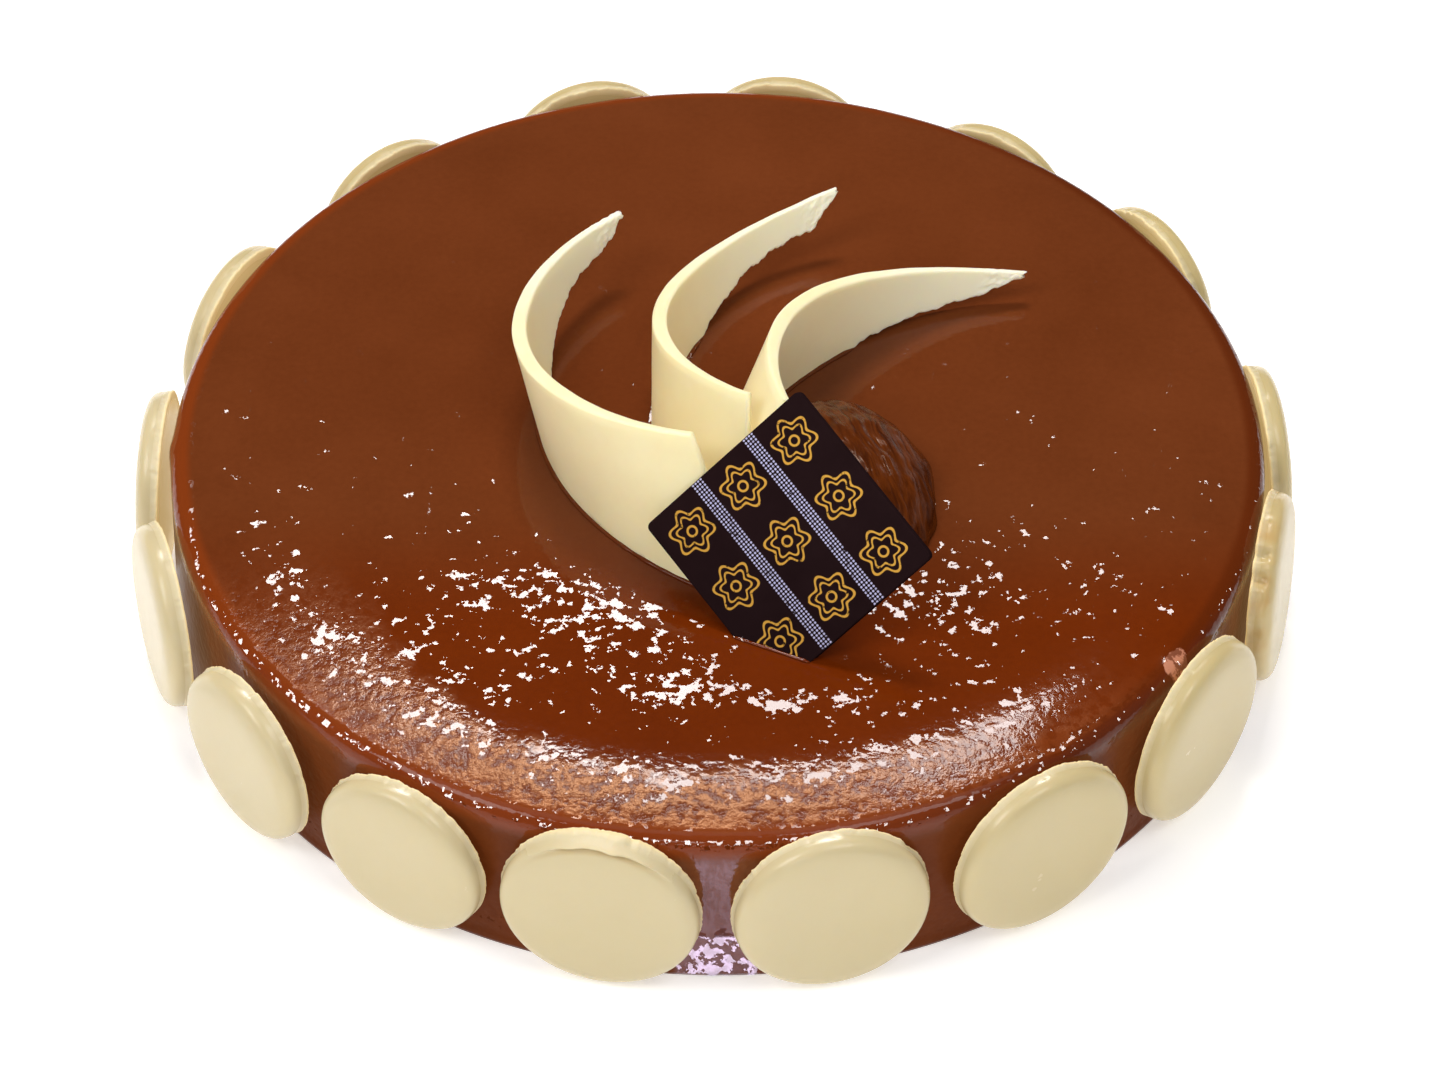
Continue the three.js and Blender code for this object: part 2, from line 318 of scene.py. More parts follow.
GLAZE_DEEP = (0.110, 0.0240, 0.0048)
GLAZE_PALE = (0.156, 0.0372, 0.0092)
# Painted shade: the front of the top is painted darker and deeper in colour
FRONT_SHADE_GLAZE = (0.95, 0.58, 0.12)
# Painted light and shade on the rim: lighter at the left, darker at the right
LIT_RIM_GLAZE = (0.205, 0.034, 0.004)
SHADED_RIM_GLAZE = (0.095, 0.015, 0.0015)
# A painted sheen: a lighter orange band inside the rim at the front
EDGE_SHEEN_GLAZE = (0.20, 0.042, 0.009)
# Painted light: the blister is painted pink as its lit inside
BLISTER_LIGHT_GLAZE = (0.52, 0.22, 0.135)

# The tints of the gloss on the wall, on its middle at the front, and on the matte band of the top
WALL_SHEEN = (1.0, 0.8, 0.65)
MIDDLE_SHEEN = (0.88, 0.73, 1.0)
HAZE_SHEEN = (1.0, 0.50, 0.20)

# The ways that the small flat facets of the setting glaze face on the top, the rim and the low wall
FLAT_FACET = (0, -0.0837, 0.9965)
RIM_FACET = (0, -0.068, 0.9977)
LOW_FACET = (0, -0.848, 0.530)

# Where the facets on the top crowd together, or are fewer: the centre, reach, turn and core of each
# patch, and how much it adds
CROWDS = (
    ((-6, -60), (66, 30), 0, 0.6, 0.20),
    ((-21, -52), (20, 13), -30, 0.3, 0.46),
    ((10, -75.5), (34, 6), -3, 0.3, 0.54),
    ((-3, -66), (6, 9), 12, 0.3, 0.30),
    ((-48, -45), (16, 9), 0, 0.3, 0.25),
    ((42, -48), (28, 17), 0, 0.3, 0.36),
    ((-16, -83), (34, 5.5), 4, 0.6, -0.28),
    ((20, -57), (16, 8), 0, 0.6, -0.30),
    ((12, -67.5), (13, 6.5), -8, 0.7, -0.90),
    ((34, -64), (10, 4), 4, 0.6, -0.50),
)


def facet_density(paint, place, reach):
    """How closely the facets crowd together: over the front of the top, along its edge there, on
    the beads further back, and in the CROWDS. reach is the distance from the middle."""
    x, y, z = paint.split(place)
    front = paint.ramp(y, 0.01, -0.05) * 0.30
    edge = (paint.ramp(reach, 0.0895, 0.0945) * paint.ramp(reach, 0.1025, 0.0980)
            * paint.ramp(y + x * 0.26, -0.046, -0.066) * 0.36)
    beads = paint.ramp(z, 0.03862, 0.0390) * paint.ramp(y, -0.03, -0.01) * 0.8
    density = front + edge + beads
    for centre, size, turn, core, amount in CROWDS:
        density += paint.patch(place, centre, size, turn, core) * amount
    return density


def glaze_finish():
    paint = Paint("milk_chocolate_glaze")
    place = paint.place()
    x, y, z = paint.split(place)
    reach = (x * x + y * y) ** 0.5
    uneven = paint.noise(place, 130, 3, 0.6) * 0.012 - 0.006

    # the parts of the cake that differ: near is the front of the top and of its rim
    top = paint.ramp(z, 0.033, 0.036)
    rim = paint.ramp(reach, 0.1065, 0.1085) * paint.ramp(z, 0.031, 0.034)
    wall = paint.ramp(z, 0.034, 0.030) * paint.ramp(reach, 0.1, 0.105)
    left = paint.ramp(x, -0.040, -0.075)
    right = paint.ramp(x, 0.010, 0.075)
    near = paint.ramp(y + x * 0.16 + uneven, -0.042, -0.086) * (1 - left * 0.25)
    middle_rim = paint.patch(place, (0, -112), (22, 14), 0, 0.6)
    middle_wall = paint.patch(place, (0, -114), (9, 30), 0, 0.75)
    dents = (paint.patch(place, (13, 77), (11, 6), 5)
             + paint.patch(place, SMALL_DENT_CENTRE, (11, 4)) * 0.35)

    # the pitted skin, the matte band inside the rim at the front, and the blister
    peel = paint.noise(place, 470, 3, 0.62)
    pores = paint.ramp(peel, 0.41, 0.53) * 0.76 + 0.24
    haze = (paint.ramp(reach + uneven + left * 0.010, 0.0915, 0.0990)
            * paint.ramp(reach + uneven * 0.15, 0.1098, 0.1078) * top * near * (1 - right * 0.65))
    blister = paint.patch(place, BLISTER_CENTRE, (3.7, 5.4), -20, 0.2)
    blister = paint.ramp(blister + peel * 0.7, 0.72, 0.86)

    # the facets on the top
    density = facet_density(paint, place, reach + uneven)
    blobs = paint.noise(place, 480, 3, 0.58)
    clumps = paint.noise(place, 150, 2, 0.5) * 1.3 - 0.65
    crowded = density + paint.noise(place, 90, 2, 0.5) - 0.5
    motes = paint.dots(place, 430, 0.20) * paint.ramp(crowded, 0.15, 0.50)
    facets = paint.ramp(blobs + (density + clumps) * 0.22 + motes * 0.18, 0.725, 0.742)
    facets = facets * top * paint.ramp(reach, 0.1060, 0.1025) * (1 - blister)

    # the line of facets along the rim, and a finer one inside it at the front
    line = (reach + left * paint.ramp(y, -0.045, -0.010) * 0.0030
            - paint.ramp(y, -0.088, -0.106) * 0.0008)
    chain = (paint.noise(place, 740, 2, 0.6) + left * near * 0.05 + middle_rim * 0.05
             - right * 0.05)
    chain = (paint.ramp(chain, 0.586, 0.600) * paint.band(line, 0.1093, 0.1106, 0.0002)
             * paint.ramp(z, 0.0340, 0.0350))
    fringe = (paint.ramp(paint.noise(place, 980, 2, 0.6), 0.580, 0.600) * near
              * paint.band(reach, 0.1078, 0.1089, 0.0002))

    # the facets low on the wall, in its middle
    low = paint.ramp(z, 0.020, 0.010) * paint.ramp(y, -0.05, -0.08) * wall
    glints = paint.noise(place, 520, 3, 0.6) + (middle_wall * 0.16 + 0.01) * low
    glints = paint.ramp(glints, 0.665, 0.685) * low

    tone = paint.noise(place, 18, 3, 0.5)
    cloud = paint.noise(place, 55, 3, 0.6)
    grain = paint.noise(place, 700, 3, 0.6)
    shade = (tone * 0.4 + cloud * 0.3 + grain * 0.3 - 0.5) * 2.4 + 0.5
    colour = paint.blend(shade, GLAZE_DEEP, GLAZE_PALE)
    # a painted sheen: a lighter orange band inside the rim at the front
    edge_sheen = (paint.ramp(reach + uneven * 0.3, 0.1035, 0.1065) * paint.ramp(reach, 0.1096, 0.1088)
            * near * top * pores)
    # painted shade: the front of the top is painted darker and deeper in colour
    front = paint.ramp(y, -0.020, -0.058) * top
    colour = paint.blend(front, colour, FRONT_SHADE_GLAZE, "MULTIPLY")
    # painted light and shade on the rim: lighter at the left, darker at the right
    colour = paint.blend(rim * 0.8, colour, paint.blend(right, LIT_RIM_GLAZE, SHADED_RIM_GLAZE))
    colour = paint.blend(edge_sheen * 0.7, colour, EDGE_SHEEN_GLAZE)
    # painted light: the blister is painted pink as its lit inside
    colour = paint.blend(blister * pores * 0.9, colour, BLISTER_LIGHT_GLAZE)

    ripple = paint.noise(place, 520, 2.5, 0.5) * (left * 0.022 + 0.026)
    coarse = peel * (haze * 0.15 + dents * 0.08 + left * near * 0.06)
    bubbles = paint.dots(place, 230, 0.10) * top * 0.02
    lumps = paint.noise(place, 560, 1, 0.5) * paint.ramp(reach, 0.1090, 0.1102) * 0.12
    drips = paint.noise(place, 420, 2, 0.5) * paint.ramp(z, 0.014, 0.002) * 0.12
    normal = paint.relief(ripple + coarse + bubbles + lumps + drips)
    normal = paint.lean(facets, normal, FLAT_FACET)
    normal = paint.lean(chain + fringe, normal, RIM_FACET)
    normal = paint.lean(glints, normal, LOW_FACET)

    paint.set(
        Base_Color=colour,
        Roughness=0.05,
        IOR=1.3,
        Normal=normal,
    )
    paint.overlay(
        wall * (1 - middle_wall),
        Base_Color=colour,
        Roughness=0.3,
        IOR=1.15,
        Specular_Tint=WALL_SHEEN,
        Normal=normal,
    )

    # the middle of the wall at the front is glossier, with fine upright hatching
    hatch = paint.ramp(paint.noise(paint.scaled(place, (1, 1, 0.4)), 900, 2, 0.6), 0.42, 0.56)
    paint.overlay(
        wall * middle_wall * (hatch * 0.38 + 0.62),
        Base_Color=colour,
        Roughness=0.08,
        IOR=1.88,
        Specular_Tint=MIDDLE_SHEEN,
        Normal=normal,
    )
    paint.overlay(
        haze * (0.98 - facets * 0.90) * (pores * 0.25 + 0.75),
        Base_Color=colour,
        Roughness=0.70 - pores * 0.47,
        IOR=1.36,
        Specular_Tint=HAZE_SHEEN,
        Normal=normal,
    )
    return paint.material


DISC_TONES = ((0.575, 0.482, 0.272), (0.63, 0.535, 0.33))
# Painted shade: the discs at the back and the right are painted deeper and warmer
DISC_BACK_SHADE = (0.54, 0.425, 0.205)
DISC_RIGHT_SHADE = (0.52, 0.41, 0.18)
DISC_FRAYED = (0.76, 0.67, 0.45)
DISC_STAIN = (0.50, 0.28, 0.075)
# A painted glow on the inner faces, standing in for light through the chocolate
DISC_PAINTED_GLOW = (0.40, 0.285, 0.11)


def disc_finish():
    """White chocolate. Painted shade makes it deeper and warmer at the back and the right, and its
    inner faces carry a painted warm glow.
    """
    paint = Paint("white_chocolate_disc")
    place = paint.place()
    x, y, _ = paint.split(place)
    cloud = paint.noise(place, 160, 4, 0.6)
    grain = paint.noise(place, 1100, 3, 0.6)
    frayed = paint.attribute("frayed")
    colour = paint.blend(paint.noise(place, 14, 2, 0.5) * 0.7 + cloud * 0.3, *DISC_TONES)
    # painted shade: deeper and warmer at the back and the right
    colour = paint.blend(paint.ramp(y, 0.0, 0.085) * 0.9, colour, DISC_BACK_SHADE)
    colour = paint.blend(paint.ramp(x, 0.0, 0.112) * 0.7, colour, DISC_RIGHT_SHADE)
    colour = paint.blend(frayed * 0.5, colour, DISC_FRAYED)
    colour = paint.blend(paint.attribute("stained") * cloud * 1.6, colour, DISC_STAIN)
    # painted light: the inner faces glow, less so at the back
    painted_glow = paint.attribute("inner") * paint.ramp(y, 0.1, 0.04, 0.35, 1)
    paint.set(
        Base_Color=colour,
        Roughness=cloud * 0.10 + frayed * 0.25 + 0.20,
        IOR=1.45,
        Emission_Color=paint.blend(painted_glow, (0, 0, 0), DISC_PAINTED_GLOW),
        Emission_Strength=1.0,
        Subsurface_Weight=0.25,
        Subsurface_Radius=(0.9, 0.6, 0.3),
        Subsurface_Scale=0.002,
        Normal=paint.relief(grain * (frayed * 0.08 + 0.006) + cloud * 0.03),
    )
    return paint.material


CURL_TONES = ((0.88, 0.75, 0.425), (0.95, 0.84, 0.53))
CURL_PALE = (0.93, 0.88, 0.68)
CURL_FRAYED = (0.92, 0.88, 0.72)
# A faint painted glow over the whole curl, standing in for light through the thin chocolate
CURL_PAINTED_GLOW = (1.0, 0.88, 0.56)


def curl_finish():
    paint = Paint("white_chocolate_curl")
    place = paint.place()
    cloud = paint.noise(place, 120, 4, 0.6)
    grain = paint.noise(place, 1000, 3, 0.6)
    frayed = paint.attribute("frayed")
    colour = paint.blend(cloud, *CURL_TONES)
    colour = paint.blend(paint.attribute("pale") * 0.75, colour, CURL_PALE)
    colour = paint.blend(frayed * 0.5, colour, CURL_FRAYED)
    paint.set(
        Base_Color=colour,
        Roughness=cloud * 0.1 + frayed * 0.2 + 0.32,
        IOR=1.45,
        Subsurface_Weight=0.5,
        Subsurface_Radius=(1.0, 0.75, 0.4),
        Subsurface_Scale=0.004,
        # a faint painted glow all over
        Emission_Color=CURL_PAINTED_GLOW,
        Emission_Strength=0.07,
        Normal=paint.relief(grain * (frayed * 0.1 + 0.01) + cloud * 0.04),
    )
    return paint.material


PLAQUE_TONES = ((0.010, 0.0045, 0.0050), (0.020, 0.0095, 0.0105))
PRINT_GOLD = (0.62, 0.33, 0.055)
PRINT_PALE = (0.50, 0.49, 0.72)
PRINT_CELLS = 3
PRINT_PETALS = 6
PRINT_DOTS = 60


def plaque_finish():
    paint = Paint("printed_dark_plaque")
    place = paint.place()
    cloud = paint.noise(place, 90, 4, 0.6)
    u, v, _ = paint.split(paint.node("UVMap", dict(uv_map="sheet")))

    def wrapped(value, offset=0.0):
        """The distance from the middle of the cell that value falls in."""
        return paint.node("Math", dict(operation="FRACT"), [value + offset]) - 0.5

    def line(distance, width):
        flat = paint.node("Math", dict(operation="ABSOLUTE"), [distance])
        return paint.ramp(flat, width * 0.6, width, 1, 0)

    # rosettes of thin gold line, one to a cell
    across, along = wrapped(u * PRINT_CELLS), wrapped(v * PRINT_CELLS)
    away = (across * across + along * along) ** 0.5
    turn = paint.node("Math", dict(operation="ARCTAN2"), [along, across])
    petals = paint.node("Math", dict(operation="COSINE"), [turn * PRINT_PETALS])
    outer = line(away - petals * 0.05 - 0.29, 0.024)
    inner = line(away - petals * 0.035 - 0.20, 0.020)
    ring = line(away - 0.07, 0.020)
    gold = paint.node("Math", dict(operation="MAXIMUM"), [outer, inner])
    gold = paint.node("Math", dict(operation="MAXIMUM"), [gold, ring])

    # rows of small pale dots between the rows of rosettes
    dot_u, dot_v = wrapped(u * PRINT_DOTS), wrapped(v * PRINT_DOTS)
    dot = paint.ramp((dot_u * dot_u + dot_v * dot_v) ** 0.5, 0.26, 0.40, 1, 0)
    rows = paint.ramp(line(wrapped(v * PRINT_CELLS, 0.5), 0.10), 0.0, 0.2) * line(v - 0.5, 0.4)

    printed = paint.attribute("printed") * paint.ramp(paint.noise(place, 900, 2, 0.6), 0.28, 0.42)
    colour = paint.blend(cloud, *PLAQUE_TONES)
    colour = paint.blend(gold * printed, colour, PRINT_GOLD)
    colour = paint.blend(dot * rows * printed, colour, PRINT_PALE)
    paint.set(
        Base_Color=colour,
        Roughness=cloud * 0.1 + 0.38,
        IOR=1.16,
        Specular_IOR_Level=0.0,
        Normal=paint.relief(cloud * 0.05),
    )
    return paint.material


GANACHE_TONES = ((0.045, 0.0075, 0.0008), (0.13, 0.027, 0.003))
GANACHE_SHEEN = (1.0, 0.78, 0.6)


def ganache_finish():
    paint = Paint("smeared_ganache")
    place = paint.place()
    x, y, z = paint.split(place)

    # long bent streaks that lie along the knife's path
    bent = paint.noise(place, 70, 2, 0.5)
    swirl = paint.node("CombineXYZ", values=[
        x * 620 + y * 240 + bent * 3.2, y * 90 + bent * 2, z * 260])
    streak = paint.noise(swirl, 1.0, 4, 0.6, 0.6)
    cloud = paint.noise(place, 160, 4, 0.6)
    paint.set(
        Base_Color=paint.blend(paint.ramp(streak, 0.3, 0.7), *GANACHE_TONES),
        Roughness=cloud * 0.1 + 0.16,
        IOR=1.25,
        Specular_Tint=GANACHE_SHEEN,
        Normal=paint.relief(streak * 0.25 + cloud * 0.08),
    )
    return paint.material


# Mesh tools

def finished(name, mesh, finish, slot, *nodes):
    """Makes the object for a bmesh drawn in millimetres, with its finish. It stands in for
    those CAD nodes. The slot is not used."""
    bmesh.ops.scale(mesh, vec=(MM, MM, MM), verts=mesh.verts)
    bmesh.ops.recalc_face_normals(mesh, faces=mesh.faces)
    data = bpy.data.meshes.new(name)
    mesh.to_mesh(data)
    mesh.free()
    data.shade_smooth()
    data.materials.append(finish)
    piece = bpy.data.objects.new(name, data)
    bpy.context.scene.collection.objects.link(piece)
    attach(piece, "root")
    if nodes:
        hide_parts(*nodes)
    return piece


def turned(outline, steps):
    """A bmesh turned round the Z axis from an outline of (reach, height) points."""
    mesh = bmesh.new()
    points = [mesh.verts.new((reach, 0, height)) for reach, height in outline]
    edges = [mesh.edges.new(pair) for pair in zip(points, points[1:])]
    bmesh.ops.spin(
        mesh, geom=points + edges, cent=(0, 0, 0), axis=(0, 0, 1), dvec=(0, 0, 0),
        angle=2 * math.pi, steps=steps, use_merge=True, use_duplicate=False)
    bmesh.ops.remove_doubles(mesh, verts=mesh.verts, dist=1e-4)
    return mesh


def swept(sides, steps):
    """A closed tube of unit reach along Z from 0 to 1, ready to be bent by moving its vertices."""
    mesh = bmesh.new()
    bmesh.ops.create_circle(mesh, segments=sides, radius=1, cap_ends=True)
    mesh.faces.ensure_lookup_table()
    bottom = mesh.faces[0]
    made = bmesh.ops.extrude_face_region(mesh, geom=[bottom], use_keep_orig=True)["geom"]
    top = [part for part in made if isinstance(part, bmesh.types.BMFace)][0]
    bmesh.ops.translate(mesh, verts=top.verts, vec=(0, 0, 1))
    walls = [edge for edge in mesh.edges if abs(edge.verts[0].co.z - edge.verts[1].co.z) > 0.5]
    bmesh.ops.subdivide_edges(mesh, edges=walls, cuts=steps - 1)
    return mesh


def side_of(vertex, sides):
    """Which of the sides of a swept tube the vertex is on."""
    return round(math.atan2(vertex.co.y, vertex.co.x) / (2 * math.pi / sides)) % sides


# The glazed cake

def wall_reach(height):
    """How far the wall is from the cake's axis at that height."""
    return RIM_RADIUS + (WALL_TOP - height) * math.tan(WALL_LEAN)


def cake_outline():
    wall_steps, rim_steps, rings = 34, 18, 104
    outline = [(0, 0), (FOOT_RADIUS * 0.5, 0), (FOOT_RADIUS - 1, 0)]
    for i in range(wall_steps):
        height = WALL_TOP * i / wall_steps
        outline.append((wall_reach(height), height))
    for i in range(rim_steps + 1):
        angle = RIM_SWEEP * i / rim_steps
        outline.append((
            RIM_CENTRE + RIM_ROUND * math.cos(angle), WALL_TOP + RIM_ROUND * math.sin(angle)))
    for i in range(1, rings):
        reach = RIM_CENTRE * (1 - i / rings)
        droop = max(reach - DROOP_START, 0) / (RIM_CENTRE - DROOP_START)
        outline.append((reach, CAKE_HEIGHT - DROOP_DEPTH * droop ** 2))
    outline.append((0, CAKE_HEIGHT))
    return outline


def top_swell(x, y):
    """How far the top of the glaze stands above its even shape."""
    swell = 0.05 * wobble(x, y, 3, 34) + 0.02 * wobble(x, y, 9, 13)
    folds = math.sin((y - DENT_CENTRE[1] + 0.25 * x) * 1.6 + wobble(x, y, 0, 6))
    swell -= spot(x, y, DENT_CENTRE, (11, 6), 0.1) * (0.15 + 0.03 * folds)
    swell += 0.02 * spot(x, y, SMALL_DENT_CENTRE, (11, 3)) * math.sin(y * 2.1 + x * 0.3)
    swell += 0.3 * spot(x, y, BLISTER_CENTRE, (3.6, 5), -0.35)
    swell -= 0.9 * spot(x, y, NOTCH_CENTRE, (2.6, 2.2), 0.9)
    return swell


def wall_swell(x, y, z):
    """How far the glaze on the wall stands out past its even shape. It is thick below the rim at
    the left, and spreads a little at its foot."""
    swell = 0.10 * wobble(x, y, z, 22) - 0.06
    lip = 0.5 * spot(x, y, LIP_CENTRE, (9, 9)) * ease(z, 28, 35)
    swell += lip * (0.6 + 0.8 * wobble(x, y, z, 5))
    return swell + 0.35 * (1 - ease(z, 0.8, 2.6)) * ease(z, -0.1, 0.6)


def make_cake(finish):
    mesh = turned(cake_outline(), CAKE_STEPS)
    for vertex in mesh.verts:
        x, y, z = vertex.co
        reach = math.hypot(x, y)
        if z > WALL_TOP:
            vertex.co.z += top_swell(x, y) * ease(z, WALL_TOP, WALL_TOP + RIM_ROUND)
        if reach > SWELL_START:
            swell = wall_swell(x, y, z)
            vertex.co.x += swell * x / reach
            vertex.co.y += swell * y / reach
    return finished("glazed_cake", mesh, finish, "glaze", "cake_body")


# The white chocolate discs

DOME_POWER = 8
DOME_RISE = 0.6
DOME_FOOT = 0.95
DOME_SHARE = 0.987
DOME_STEPS = 25


def disc_outline(radius):
    """A thin flat edge, and a full dome that starts just inside it."""
    outline = [(0, 0), (0.5 * radius, 0), (0.9 * radius, 0), (radius - 0.3, 0), (radius, 0.15)]
    outline += [(radius, 0.5), (radius - 0.1, 0.75), (0.992 * radius, 0.9)]
    for i in range(1, DOME_STEPS):
        angle = i / DOME_STEPS * 90 * DEGREE
        outline.append((
            DOME_SHARE * radius * math.cos(angle) ** (2 / DOME_POWER),
            DOME_FOOT + (DISC_THICKNESS - DOME_FOOT) * math.sin(angle) ** DOME_RISE))
    outline.append((0, DISC_THICKNESS))
    return outline


def disc_place(azimuth, off, lean, turn, height):
    """Where a disc stands: its flat back faces the wall, its middle at that height."""
    place = Matrix.Rotation(azimuth * DEGREE, 4, "Z")
    out = wall_reach(height) + GAP / math.cos(WALL_LEAN) + off
    place @= Matrix.Translation((out, 0, height))
    place @= Matrix.Rotation(turn * DEGREE, 4, "Z") @ Matrix.Rotation(-lean * DEGREE, 4, "Y")
    return place @ Matrix.Rotation(90 * DEGREE, 4, "Y")


def disc_wear(number, radius, x, y, z):
    """How a point of a disc moves in towards its axis and out from its back, and how frayed and how
    stained it is."""
    reach = math.hypot(x, y)

    # the top of a disc is at its -X side, and its +Y side is to the right seen from outside
    upper = ease(-x / reach, -0.5, 0.9)
    frayed = ease(reach, 0.96 * radius, 0.985 * radius) * (1 - ease(z, 0.8, 1.3))
    chip = 0.5 * abs(wobble(x, y, number * 7, 1.1)) + 0.6 * abs(wobble(x, y, number * 5, 3.5))
    shrink = frayed * (chip * (0.25 + 0.75 * upper) - 0.25 * upper)
    shrink += 0.12 * wobble(x / radius * 9, y / radius * 9, number * 11, 8)
    rise = 0.07 * wobble(x, y, number * 3, 12) * ease(z, 1, 5)
    stained = 0
    if number == LUMPY_DISC:
        around = spot(math.atan2(y, -x), 0, (0.05, 0), (1.0, 1))
        ledge = ease(reach, 0.93 * radius, 0.965 * radius) * around
        rise += ledge * (1.5 + 0.9 * wobble(x, y, 40, 3.2)) * ease(z, 0.1, 0.8)
        rise -= 0.5 * around * spot(reach, 0, (0.925 * radius, 0), (0.8, 1)) * ease(z, 1, 2)
        frayed = max(frayed, ledge)
        stained = 0.35 * around * spot(reach, 0, (0.92 * radius, 0), (1.1, 1))
    if number == CHIPPED_DISC:
        around = spot(math.atan2(-y, -x), 0, (0.85, 0), (1.25, 1))
        bite = (max(0, wobble(x, y, 4, 3.4) + 0.15) * around
                * ease(reach, 0.86 * radius, 0.95 * radius))
        shrink += 2.6 * bite * (1 - ease(z, 2.2, 4.5))
        rise -= 0.8 * bite * ease(z, 0.5, 2)
        patchy = abs(wobble(x, y, 8, 3.0)) * ease(reach, 0.86 * radius, 0.97 * radius)
        stained = 1.17 * around * patchy + 0.14 * (1 - ease(z, 3.0, 5.3)) + 0.04
    return shrink, rise, frayed, stained


def make_disc(number, finish):
    azimuth, size, off, lean, turn = DISCS[number - 1]
    radius = DISC_RADIUS * size
    height = radius * math.cos(lean * DEGREE) + DISC_STAND
    mesh = turned(disc_outline(radius), DISC_STEPS)
    frayed = mesh.verts.layers.float.new("frayed")
    stained = mesh.verts.layers.float.new("stained")
    inner = mesh.verts.layers.float.new("inner")
    for vertex in mesh.verts:
        x, y, z = vertex.co
        # inner marks the faces near the flat back, which carry the painted glow
        vertex[inner] = 1 - ease(z, 0.05, 0.7)
        reach = math.hypot(x, y)
        if reach < 1e-6:
            continue
        shrink, rise, vertex[frayed], vertex[stained] = disc_wear(number, radius, x, y, z)
        vertex.co.x -= x * shrink / reach
        vertex.co.y -= y * shrink / reach
        vertex.co.z += rise
    bmesh.ops.transform(mesh, matrix=disc_place(azimuth, off, lean, turn, height), verts=mesh.verts)
    return finished(
        f"white_disc_{number:02d}", mesh, finish, "white_chocolate", f"disc_{number:02d}")


# The plaque

def plaque_place():
    """Where the plaque leans: its own +Z is the way its printed face looks."""
    front = PLAQUE_FRONT.normalized()
    across = (PLAQUE_EDGE - front * PLAQUE_EDGE.dot(front)).normalized()
    along = front.cross(across)
    place = Matrix((across, along, front)).transposed().to_4x4()
    place.translation = PLAQUE_CENTRE
    return place


def make_plaque(finish):
    mesh = bmesh.new()
    bmesh.ops.create_cube(mesh, size=1)
    bmesh.ops.scale(mesh, vec=(PLAQUE_SIDE, PLAQUE_SIDE, PLAQUE_THICKNESS), verts=mesh.verts)
    bmesh.ops.translate(mesh, vec=(0, 0, -PLAQUE_THICKNESS / 2), verts=mesh.verts)
    corners = [edge for edge in mesh.edges if abs(edge.verts[0].co.z - edge.verts[1].co.z) > 1]
    bmesh.ops.bevel(mesh, geom=corners, affect="EDGES", offset=PLAQUE_CORNER, segments=5,
                    profile=0.5, material=-1)
    rims = [edge for edge in mesh.edges if edge.calc_face_angle(0) > 60 * DEGREE]
    bmesh.ops.bevel(mesh, geom=rims, affect="EDGES", offset=PLAQUE_RIM, segments=3,
                    profile=0.5, material=-1)
    sheet = mesh.loops.layers.uv.new("sheet")
    printed = mesh.verts.layers.float.new("printed")
    for face in mesh.faces:
        for loop in face.loops:
            x, y, z = loop.vert.co
            loop[sheet].uv = (x / PLAQUE_SIDE + 0.5, y / PLAQUE_SIDE + 0.5)
            loop.vert[printed] = 1 if z > -0.01 else 0
    bmesh.ops.transform(mesh, matrix=plaque_place(), verts=mesh.verts)
    return finished("dark_plaque", mesh, finish, "dark_chocolate", "plaque")


# The curls

def curl_axes(curl):
    """The lean of a curl's tube, and two directions across it."""
    lean = Vector((*curl["lean"], 1)).normalized()
    sideways = (Vector((1, 0, 0)) - lean * lean.x).normalized()
    return lean, sideways, lean.cross(sideways)


def curl_frame(curl, along):
    """The curl's outward and rising directions, the foot of its tube, its radius and its top."""
    _, sideways, backways = curl_axes(curl)
    angle = mix(curl["start"], curl["end"], along) * DEGREE
    outward = sideways * math.cos(angle) + backways * math.sin(angle)
    front = (1 - along) ** 2
    rising = Vector((
        curl["lean"][0] + curl["twist"][0] * front, curl["lean"][1] + curl["twist"][1] * front, 1))
    rise = curl["rise"][0] + curl["rise"][1] * along + curl["rise"][2] * along ** 2
    radius = curl["radius"] * (1 + curl["spread"] * along)
    return outward, rising.normalized(), Vector((*curl["centre"], CAKE_HEIGHT)), radius, rise


def curl_point(curl, along, across, down):
    """A point of a curl: along from front to tip, across its wall, and down from its upper edge."""
    outward, rising, foot, radius, rise = curl_frame(curl, along)
    return foot + outward * (radius + across) + rising * (rise - down)


def curl_thickness(along):
    """The thickness of a curl at that share of its length: it thins towards both ends."""
    front = 1 - ease(along, 0, CURL_FULL[0])
    tip = ease(along, CURL_FULL[1], 1)
    return (CURL_THICKNESS - (CURL_THICKNESS - CURL_FRONT_THICKNESS) * front
            - (CURL_THICKNESS - CURL_TIP_THICKNESS) * tip)


def inside_curl(curl, point):
    """Whether a point is in the wall of an untwisted curl, or anywhere outside that wall."""
    lean, sideways, backways = curl_axes(curl)
    away = point - Vector((*curl["centre"], CAKE_HEIGHT))
    angle = math.degrees(math.atan2(away.dot(backways), away.dot(sideways)))
    angle -= 360 if angle > curl["start"] + 90 else 0
    along = (angle - curl["start"]) / (curl["end"] - curl["start"])
    if not -0.2 < along < 0.7:
        return False
    _, _, _, radius, rise = curl_frame(curl, along)
    reach = math.hypot(away.dot(backways), away.dot(sideways))
    return reach > radius - curl_thickness(along) - GAP and away.dot(lean) < rise + GAP


